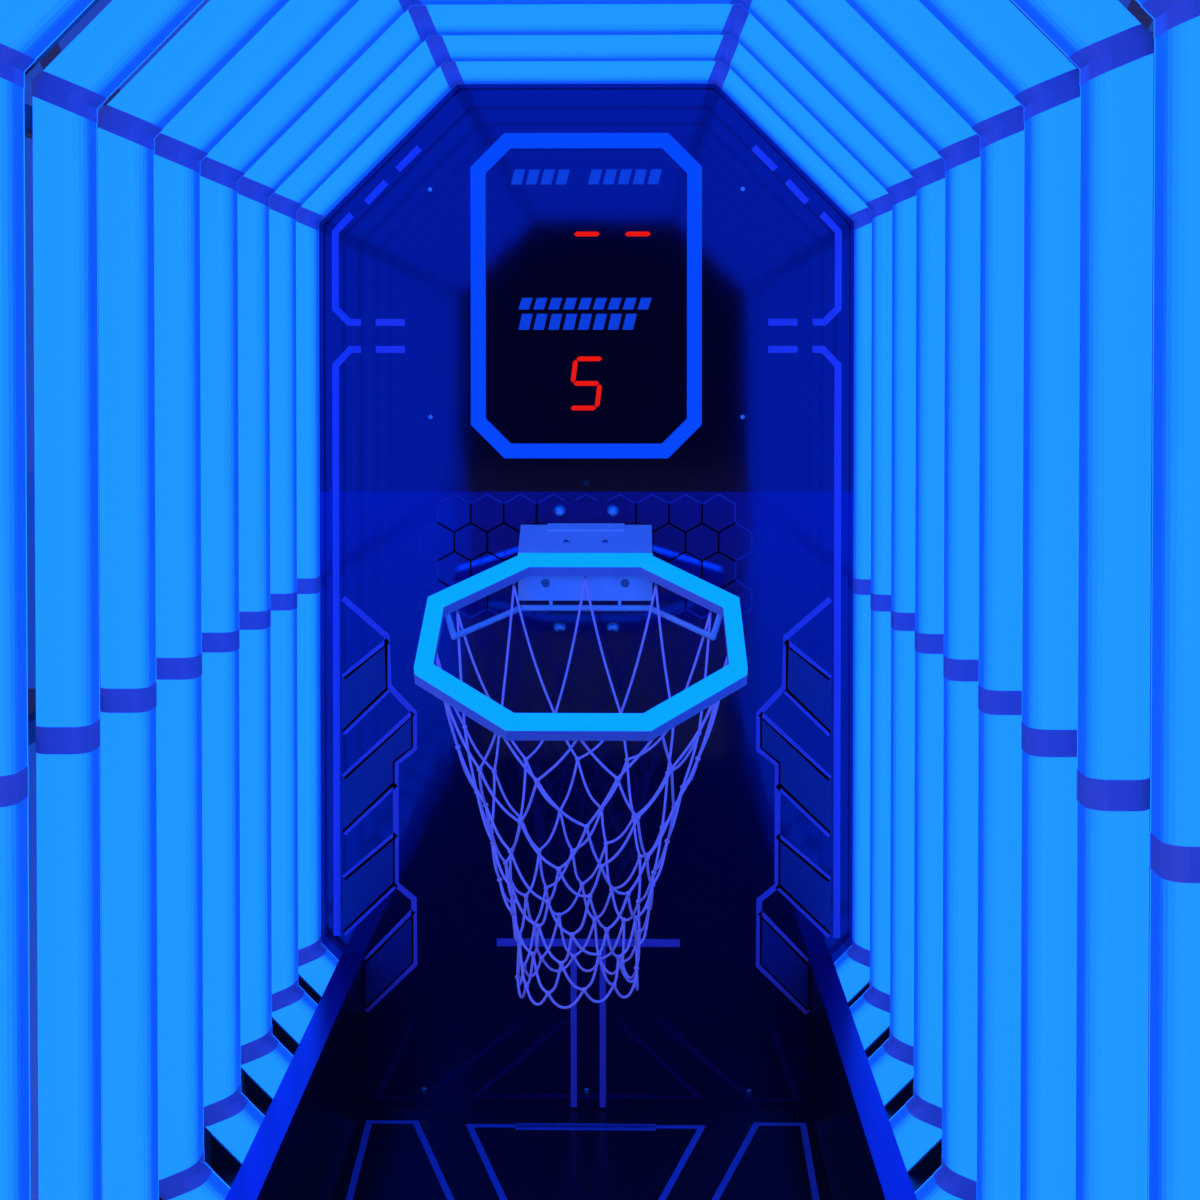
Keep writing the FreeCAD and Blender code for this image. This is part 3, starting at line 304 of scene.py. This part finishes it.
def tube_profile(half):
    """Rounded square: points (outward, back) in order and the glow of the strip after each point, dimmed as
    painted shade on the corner and side that face the tunnel.
    """
    flat = half - TUBE_CORNER
    points = []
    glows = []
    corners = ((-flat, -flat, 180), (flat, -flat, 270), (flat, flat, 0), (-flat, flat, 90))
    for place, (u, v, start) in enumerate(corners):
        for i in range(CORNER_PARTS + 1):
            angle = math.radians(start + 90.0 * i / CORNER_PARTS)
            points.append((u + TUBE_CORNER * math.cos(angle), v + TUBE_CORNER * math.sin(angle)))
            glows.append(CORNER_GLOW_WITH_PAINTED_SHADE[CORNER_PARTS - 1 - i] if place == 0 and i < CORNER_PARTS else 1.0)
    glows[-1] = SIDE_GLOW_WITH_PAINTED_SHADE
    return points, glows


def arch_plane(points, index):
    """Normal of the joint between two members."""
    before = (points[index] - points[index - 1]).normalized() if index else None
    after = (points[index + 1] - points[index]).normalized() if index < len(points) - 1 else None
    return ((before or after) + (after or before)).normalized()


def cut_ring(points, member, joint, level, profile):
    """Outline of a member where it meets the plane of a joint, moved along by a level."""
    start = points[member]
    way = (points[member + 1] - start).normalized()
    outward = Vector((-way.z, 0.0, way.x))
    normal = arch_plane(points, joint)
    ring = []
    for u, v in profile:
        offset = outward * u + Vector((0.0, v, 0.0))
        run = (level - normal.dot(start + offset - points[joint])) / normal.dot(way)
        place = start + offset + way * run
        if joint in (0, len(points) - 1):
            place += way * foot_trim(place, way)
        ring.append(place)
    return ring


def foot_trim(place, way):
    """Run along the tube from a point behind the rail to where the tube ends on the shelf."""
    inward = way if way.z > 0 else -way
    run = max((FOOT_END_X - abs(place.x)) / abs(way.x), (FOOT_END_Z - place.z) / inward.z)
    return run if way.z > 0 else -run


def arch_line():
    """Points of the tube axis from the left foot over the roof to the right foot."""
    half = [Vector((-x, 0.0, z)) for x, z in ARCH_HALF]
    return half + [Vector((-p.x, 0.0, p.z)) for p in reversed(half)]


def skin(rings, glows, verts, faces, paints):
    """Adds a closed skin through a row of outlines, once for every arch."""
    count = len(glows)
    for y in ARCH_YS:
        start = len(verts)
        for ring in rings:
            verts += [place + Vector((0.0, y, 0.0)) for place in ring]
        for step in range(len(rings) - 1):
            row = start + step * count
            for i in range(count):
                j = (i + 1) % count
                faces.append([row + i, row + j, row + count + j, row + count + i])
                paints.append(glows[i])
        faces.append([start + i for i in reversed(range(count))])
        faces.append([start + (len(rings) - 1) * count + i for i in range(count)])
        paints += [0, 0]


def glow_piece(name, node, materials, built):
    """Makes a skinned piece with several materials, in place of a CAD node."""
    verts, faces, paints = built
    piece = add_mesh(name, verts, faces, materials[0])
    for extra in materials[1:]:
        piece.data.materials.append(extra)
    piece.data.polygons.foreach_set("material_index", paints)
    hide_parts(node)


def make_tubes():
    """Light tubes: full glow to the front, dimmer along the side that faces the tunnel, as painted shade made
    from dimmer copies of the tube lamp.
    """
    points = arch_line()
    profile, glows = tube_profile(TUBE_HALF)
    levels = sorted(set(glows), reverse=True)
    materials = [lamp("milky_tube_%02d" % round(level * 100), TUBE_COLOUR, TUBE_POWER * level)
                 for level in levels]
    picks = [levels.index(glow) for glow in glows]
    last = len(points) - 1
    for node, members in TUBE_NODES.items():
        built = ([], [], [])
        for member in members:
            low = 0.0 if member == 0 else TUBE_GAP
            high = 0.0 if member + 1 == last else TUBE_GAP
            rings = [cut_ring(points, member, member, low, profile),
                     cut_ring(points, member, member + 1, -high, profile)]
            skin(rings, picks, *built)
        glow_piece("glow_" + node, node, materials, built)


def make_sleeves():
    """Sleeves over the joints: pale plastic to the front with a faint painted blue glow for the tube light
    falling on it, lit through from inside on their backs.
    """
    points = arch_line()
    profile, glows = tube_profile(SLEEVE_HALF)
    back = 2 * (CORNER_PARTS + 1)
    picks = [1 if back <= i < len(glows) - 1 else 0 for i in range(len(glows))]
    materials = [MATERIALS["pale_plastic"], lamp("sleeve_back", TUBE_COLOUR, 2.0)]
    built = ([], [], [])
    for joint in range(1, len(points) - 1):
        rings = [cut_ring(points, joint - 1, joint, -TUBE_GAP, profile),
                 cut_ring(points, joint, joint, 0.0, profile),
                 cut_ring(points, joint, joint, TUBE_GAP, profile)]
        skin(rings, picks, *built)
    glow_piece("sleeves", "tube_couplers", materials, built)


# ---------------------------------------------------------------- printed lines

WALL_LINE = 0.013
ARMOUR_LINE = 0.011
DECK_LINE = 0.012
HEX_SIZE = 0.036
HEX_TOP_Z = 1.966
HEX_ROWS = 4
HEX_COLUMNS = 5
HEX_REACH = 0.30
HEX_LINE = 0.003
BLOCK_PITCH = 28
BLOCK_WIDTH = 20
BLOCK_LEAN = 7
DIGIT_HALF_W = 0.0255
DIGIT_HALF_H = 0.0463
DIGIT_LEAN = 0.12
BAR_HALF = 0.0045
BAR_GAP = 0.0012
UNLIT_SINK = 0.0001


def make_back_print():
    """Generic line pattern on the back wall."""
    lines = Shape(on_back)
    w = WALL_LINE
    lines.both(lines.line, mm([(442, 2529), (473, 2496), (473, 2352), (447, 2326), (425, 2326)]), w)
    lines.both(lines.line, mm([(397, 2326), (342, 2326)]), w)
    lines.both(lines.line, mm([(414, 2551), (377, 2590)]), w)
    lines.both(lines.line, mm([(355, 2613), (314, 2654)]), w)
    lines.both(lines.line, mm([(397, 2275), (342, 2275)]), w)
    lines.both(lines.line, mm([(425, 2275), (445, 2275), (473, 2245), (473, 1163)]), w)
    edge = [(460, 1805), (377, 1733), (374, 1639), (326, 1588), (326, 1520), (361, 1493), (361, 1262),
            (327, 1234), (326, 1110), (419, 1020)]
    lines.both(lines.line, mm(edge), ARMOUR_LINE)
    for low, high in (((460, 1655), (375, 1725)), ((460, 1549), (374, 1633)), ((460, 1465), (328, 1588)),
                      ((460, 1358), (361, 1453)), ((460, 1273), (361, 1357)), ((460, 1167), (361, 1262)),
                      ((419, 1116), (328, 1211))):
        lines.both(lines.line, mm([low, high]), ARMOUR_LINE)
    lines.line(mm([(-170, 1152), (177, 1152)]), 0.015)
    lines.line(mm([(-24, 1144), (-24, 838)]), 0.012)
    lines.line(mm([(31, 1144), (31, 838)]), 0.012)
    add_mesh("print_back_lines", lines.verts, lines.faces, PRINT_LINE)
    make_hex_print()
    fills = Shape(on_back)
    for band in ([(462, 1549), (376, 1631), (376, 1720), (462, 1653)],
                 [(462, 1358), (363, 1451), (363, 1493), (328, 1522), (328, 1584), (462, 1463)],
                 [(462, 1167), (363, 1260), (363, 1354), (462, 1271)],
                 [(419, 1022), (328, 1112), (328, 1207), (419, 1116)]):
        fills.both(fills.polygon, mm(band))
    add_mesh("print_back_fills", fills.verts, fills.faces, PRINT_FILL)


def make_hex_print():
    """Faint honeycomb under the split of the back wall."""
    cells = Shape(on_back)
    pitch_u = HEX_SIZE * math.sqrt(3)
    for row in range(HEX_ROWS):
        z = HEX_TOP_Z - row * HEX_SIZE * 1.5
        for column in range(-HEX_COLUMNS, HEX_COLUMNS + 1):
            u = (column + 0.5 * (row % 2)) * pitch_u
            turns = [math.radians(60 * k) for k in range(7)]
            spots = [(u + HEX_SIZE * math.sin(turn), z + HEX_SIZE * math.cos(turn)) for turn in turns]
            if abs(u) < HEX_REACH:
                cells.line(spots, HEX_LINE)
    add_mesh("print_honeycomb", cells.verts, cells.faces, PRINT_HEX)


def make_deck_print():
    """Generic line pattern on the deck."""
    shape = Shape(on_deck)
    shape.both(shape.line, mm([(0, 67), (216, 67), (135, 323), (60, 565)]), DECK_LINE)
    shape.line(mm([(-130, 69), (130, 69)]), 0.024)
    shape.both(shape.line, mm([(396, 560), (405, 55), (318, 55), (226, 323), (150, 565)]), DECK_LINE)
    add_mesh("print_deck_lines", shape.verts, shape.faces, PRINT_DECK)


def slanted(left, right, z, height, lean):
    """Corners of a leaning block."""
    low = z - height / 2
    high = z + height / 2
    return mm([(left, low), (right, low), (right + lean, high), (left + lean, high)])


def make_display_marks():
    """Leaning plain blocks where a machine of this kind has its captions."""
    marks = Shape(on_back)
    for start, count, z, height in ((-142, 4, 2599, 28), (3, 5, 2599, 28), (-128, 6, 2361, 22),
                                    (40, 3, 2361, 22), (-128, 8, 2327, 30)):
        for i in range(count):
            left = start + i * BLOCK_PITCH
            marks.polygon(slanted(left, left + BLOCK_WIDTH, z, height, BLOCK_LEAN))
    add_mesh("display_marks", marks.verts, marks.faces, MARK_BLUE)


def bar(start, end, half):
    """Pointed digit bar between two corners."""
    a = Vector(start)
    b = Vector(end)
    way = (b - a).normalized()
    side = Vector((-way.y, way.x)) * half
    a = a + way * BAR_GAP
    b = b - way * BAR_GAP
    return [tuple(a), tuple(a + way * half - side), tuple(b - way * half - side), tuple(b),
            tuple(b - way * half + side), tuple(a + way * half + side)]


def digit_bars(x, z, lit):
    """Seven leaning bars of one digit, split into lit and unlit."""
    w = DIGIT_HALF_W
    h = DIGIT_HALF_H
    ends = {"a": ((-w, h), (w, h)), "b": ((w, h), (w, 0)), "c": ((w, 0), (w, -h)), "d": ((-w, -h), (w, -h)),
            "e": ((-w, 0), (-w, -h)), "f": ((-w, h), (-w, 0)), "g": ((-w, 0), (w, 0))}
    groups = {True: [], False: []}
    for name, (start, end) in ends.items():
        corners = bar(start, end, BAR_HALF)
        groups[name in lit].append([(x + u + DIGIT_LEAN * v, z + v) for u, v in corners])
    return groups


def make_digits():
    """Red seven-segment digits; the unlit bars stay dark."""
    on = Shape(lambda u, v, d: Vector((u, BACK_Y - d, v)))
    off = Shape(lambda u, v, d: Vector((u, BACK_Y - d + UNLIT_SINK, v)))
    for x, z, lit in ((-0.095, 2.492, ""), (0.001, 2.492, "g"), (0.097, 2.492, "g"), (0.0, 2.211, "afgcd")):
        groups = digit_bars(x, z, lit)
        for corners in groups[True]:
            on.polygon(corners)
        for corners in groups[False]:
            off.polygon(corners)
    bright = add_mesh("digits_lit", on.verts, on.faces, MATERIALS["digit_light"])
    add_mesh("digits_unlit", off.verts, off.faces, MATERIALS["display_black"])
    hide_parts("digit_segments")


# ---------------------------------------------------------------- net

NET_ROWS = ((1.617, 0.216), (1.548, 0.174), (1.480, 0.150), (1.417, 0.130), (1.360, 0.116), (1.307, 0.108),
            (1.252, 0.105))
NET_TWIST = (0.0, 0.02, 0.06, 0.12, 0.20, 0.30, 0.40)
NET_LOOP_Z = 1.230
NET_COUNT = 12
NET_SHIFT = -0.012
CORD_R = 0.0023
CORD_SIDES = 7
CORD_STEPS = 3
KNOT_R = 0.0046
STRAND_PARTS = 4
LOOP_PARTS = 8
HOOK_INSET = 0.005
HOOK_END = 0.009
SAG = 0.0012
HOLD = 0.18
SETTLE_ROUNDS = 60


def hook_point(index):
    """Lower end of a net hook under the ring."""
    angle = math.radians(30.0 * index)
    facet = math.radians((30.0 * index + 22.5) % 45.0 - 22.5)
    radius = (RING_A - RING_FACE + HOOK_INSET) / math.cos(facet)
    flat = Vector((radius * math.cos(angle), radius * math.sin(angle), -RING_DEPTH - HOOK_END))
    return RING_C + Matrix.Rotation(RING_TILT, 3, "X") @ flat


def row_point(row, step, rng):
    """Rough place of a knot, before the net settles."""
    z, radius = NET_ROWS[row]
    angle = math.radians(30.0 * step) + rng.uniform(-0.09, 0.09) + NET_TWIST[row]
    reach = radius + rng.uniform(-0.010, 0.010)
    drift = NET_SHIFT * (row + 1) / len(NET_ROWS)
    rise = (0.020 - 0.004 * row) * math.sin(angle)
    return Vector((drift + reach * math.cos(angle), RING_C.y + reach * math.sin(angle),
                   z + rise + rng.uniform(-0.009, 0.009)))


class Net:
    """Cords as chains of points that hang from the hooks."""

    def __init__(self):
        """Starts an empty net."""
        self.points = []
        self.fixed = []
        self.goal = {}
        self.links = []
        self.strands = []
        self.knots = []

    def point(self, place, fixed=False, goal=False):
        """Adds a point and gives its number."""
        self.points.append(Vector(place))
        self.fixed.append(fixed)
        if goal:
            self.goal[len(self.points) - 1] = Vector(place)
        return len(self.points) - 1

    def strand(self, a, b, slack, parts=STRAND_PARTS, low=None):
        """Chain between two points, a little longer than the gap."""
        start = self.points[a]
        end = self.points[b]
        chain = [a]
        for i in range(1, parts):
            t = i / parts
            place = start.lerp(end, t)
            if low is not None:
                place.z = place.z - low * math.sin(math.pi * t)
            chain.append(self.point(place))
        chain.append(b)
        total = sum((self.points[chain[i]] - self.points[chain[i + 1]]).length for i in range(parts))
        for i in range(parts):
            self.links.append((chain[i], chain[i + 1], total * slack / parts))
        self.strands.append(chain)

    def settle(self, rounds):
        """Lets the cords hang: gravity, cord length, and a weak hold on the shape."""
        for _ in range(rounds):
            for i, place in enumerate(self.points):
                if not self.fixed[i]:
                    place.z = place.z - SAG
                if i in self.goal:
                    place += (self.goal[i] - place) * HOLD
            for _ in range(6):
                for a, b, length in self.links:
                    gap = self.points[b] - self.points[a]
                    size = gap.length
                    if size > length:
                        push = gap * ((size - length) / size / 2)
                        if not self.fixed[a]:
                            self.points[a] += push * (2 if self.fixed[b] else 1)
                        if not self.fixed[b]:
                            self.points[b] -= push * (2 if self.fixed[a] else 1)


def build_net():
    """Hooks, rows of knots, the strands between them and the loops at the foot."""
    rng = random.Random(7)
    net = Net()
    above = [net.point(hook_point(i), fixed=True) for i in range(NET_COUNT)]
    for row in range(len(NET_ROWS)):
        turn = 0.5 if row % 2 == 0 else 0.0
        knots = [net.point(row_point(row, i + turn, rng), goal=True) for i in range(NET_COUNT)]
        net.knots += knots
        for i in range(NET_COUNT):
            near = i if row % 2 == 0 else (i - 1) % NET_COUNT
            far = (near + 1) % NET_COUNT
            net.strand(above[near], knots[i], 1.0 + rng.uniform(0.01, 0.06))
            net.strand(above[far], knots[i], 1.0 + rng.uniform(0.01, 0.06))
        above = knots
    drop = NET_ROWS[-1][0] - NET_LOOP_Z
    for i in range(NET_COUNT):
        net.strand(above[i], above[(i + 1) % NET_COUNT], 1.0, LOOP_PARTS, drop)
    net.settle(SETTLE_ROUNDS)
    return net


def smooth_chain(points, steps):
    """Rounded path through the points."""
    path = []
    last = len(points) - 1
    for i in range(last):
        p0 = points[max(i - 1, 0)]
        p1 = points[i]
        p2 = points[i + 1]
        p3 = points[min(i + 2, last)]
        for k in range(steps):
            t = k / steps
            path.append(0.5 * (2 * p1 + (p2 - p0) * t + (2 * p0 - 5 * p1 + 4 * p2 - p3) * t * t
                               + (3 * p1 - p0 - 3 * p2 + p3) * t * t * t))
    path.append(points[last].copy())
    return path


def add_tube(path, radius, sides, verts, faces):
    """Round cord along a path, closed at its ends."""
    up = Vector((0.3, 0.5, 0.8))
    start = len(verts)
    for i, place in enumerate(path):
        way = (path[min(i + 1, len(path) - 1)] - path[max(i - 1, 0)]).normalized()
        across = way.cross(up).normalized()
        up = across.cross(way).normalized()
        for k in range(sides):
            turn = 2 * math.pi * k / sides
            verts.append(place + (across * math.cos(turn) + up * math.sin(turn)) * radius)
    for i in range(len(path) - 1):
        for k in range(sides):
            j = (k + 1) % sides
            a = start + i * sides
            faces.append([a + k, a + j, a + sides + j, a + sides + k])
    faces.append([start + k for k in reversed(range(sides))])
    end = start + (len(path) - 1) * sides
    faces.append([end + k for k in range(sides)])


def add_ball(centre, radius, verts, faces):
    """Small knot."""
    start = len(verts)
    rings = 5
    sides = 8
    for i in range(rings + 1):
        polar = math.pi * i / rings
        for k in range(sides):
            turn = 2 * math.pi * k / sides
            verts.append(centre + Vector((math.sin(polar) * math.cos(turn), math.sin(polar) * math.sin(turn),
                                          math.cos(polar))) * radius)
    for i in range(rings):
        for k in range(sides):
            j = (k + 1) % sides
            a = start + i * sides
            faces.append([a + k, a + sides + k, a + sides + j, a + j])


def make_ring_glow():
    """Light strips on the outer sides of the ring that face the back wall."""
    verts = []
    faces = []
    turn = Matrix.Rotation(RING_TILT, 3, "X")
    reach = RING_A + 0.0006
    for side in (1, 3):
        angle = math.radians(45.0 * side)
        out = Vector((math.cos(angle), math.sin(angle), 0.0))
        along = Vector((-out.y, out.x, 0.0))
        for left, right in ((-0.100, -0.045), (-0.038, 0.030), (0.037, 0.100)):
            start = len(verts)
            for depth in (0.0, 0.0004):
                for run, drop in ((left, -0.002), (right, -0.002), (right, -0.010), (left, -0.010)):
                    verts.append(RING_C + turn @ (out * (reach + depth) + along * run + Vector((0, 0, drop))))
            faces += [[start + 3, start + 2, start + 1, start], [start + 4, start + 5, start + 6, start + 7]]
            for i in range(4):
                j = (i + 1) % 4
                faces.append([start + i, start + j, start + 4 + j, start + 4 + i])
    add_mesh("ring_back_glow", verts, faces, RING_BACK_GLOW)


def make_net():
    """Net of knotted cord, in place of the skin in the CAD."""
    net = build_net()
    verts = []
    faces = []
    for chain in net.strands:
        add_tube(smooth_chain([net.points[i] for i in chain], CORD_STEPS), CORD_R, CORD_SIDES, verts, faces)
    for i in net.knots:
        add_ball(net.points[i], KNOT_R, verts, faces)
    piece = add_mesh("net_cords", verts, faces, MATERIALS["net_cord"], smooth=True)
    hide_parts("net")


# ---------------------------------------------------------------- stage

FLOOR_HALF = 40
WORLD_LIGHT = 0.25
WORLD_IN_REFLECTIONS = 0.012
LIGHT_SIZE = 2.5


def make_floor():
    """Pale floor under the machine."""
    mesh = bpy.data.meshes.new("floor")
    corners = [(x * FLOOR_HALF, y * FLOOR_HALF, 0) for x, y in ((-1, -1), (1, -1), (1, 1), (-1, 1))]
    mesh.from_pydata(corners, [], [(0, 1, 2, 3)])
    mesh.materials.append(paint("floor", (0.45, 0.45, 0.46), 0.7))
    floor = bpy.data.objects.new("floor", mesh)
    bpy.context.scene.collection.objects.link(floor)


def make_world():
    """Soft grey surroundings that look dark in reflections."""
    world = bpy.data.worlds.new("world")
    bpy.context.scene.world = world
    world.use_nodes = True
    tree = world.node_tree
    back = tree.nodes["Background"]
    back.inputs["Color"].default_value = (0.85, 0.88, 0.95, 1.0)
    path = tree.nodes.new("ShaderNodeLightPath")
    level = tree.nodes.new("ShaderNodeMapRange")
    level.inputs["To Min"].default_value = WORLD_LIGHT
    level.inputs["To Max"].default_value = WORLD_IN_REFLECTIONS
    tree.links.new(path.outputs["Is Glossy Ray"], level.inputs["Value"])
    tree.links.new(level.outputs["Result"], back.inputs["Strength"])


def area(name, place, target, power):
    """Soft light that shows neither directly nor as a mirror image."""
    data = bpy.data.lights.new(name, "AREA")
    data.shape = "SQUARE"
    data.size = LIGHT_SIZE
    data.energy = power
    light = bpy.data.objects.new(name, data)
    light.location = place
    light.visible_camera = False
    light.visible_glossy = False
    light.rotation_euler = (Vector(target) - Vector(place)).to_track_quat("-Z", "Y").to_euler()
    bpy.context.scene.collection.objects.link(light)


def make_lights():
    """Two soft lights outside the cage, one behind it at the right and one at the left."""
    area("back_light", (3.5, 5.0, 4.5), (0, 1.2, 1.2), 260)
    area("side_light", (-5.0, -1.0, 4.0), (0, 0, 1.2), 220)


def make_camera():
    """Camera in front of the tunnel."""
    data = bpy.data.cameras.new("camera")
    data.lens = LENS
    data.sensor_width = SENSOR
    data.shift_y = SHIFT_Y
    data.clip_start = 0.01
    data.clip_end = 100
    camera = bpy.data.objects.new("camera", data)
    camera.location = CAMERA_AT
    camera.rotation_euler = (math.radians(90.0 - PITCH_DOWN), 0.0, math.radians(YAW_LEFT))
    bpy.context.scene.collection.objects.link(camera)
    bpy.context.scene.camera = camera


bpy.context.scene.view_settings.view_transform = "Standard"
dress_cad()
make_tubes()
make_sleeves()
make_back_print()
make_deck_print()
make_display_marks()
make_digits()
make_ring_glow()
make_net()
make_floor()
make_world()
make_lights()
make_camera()
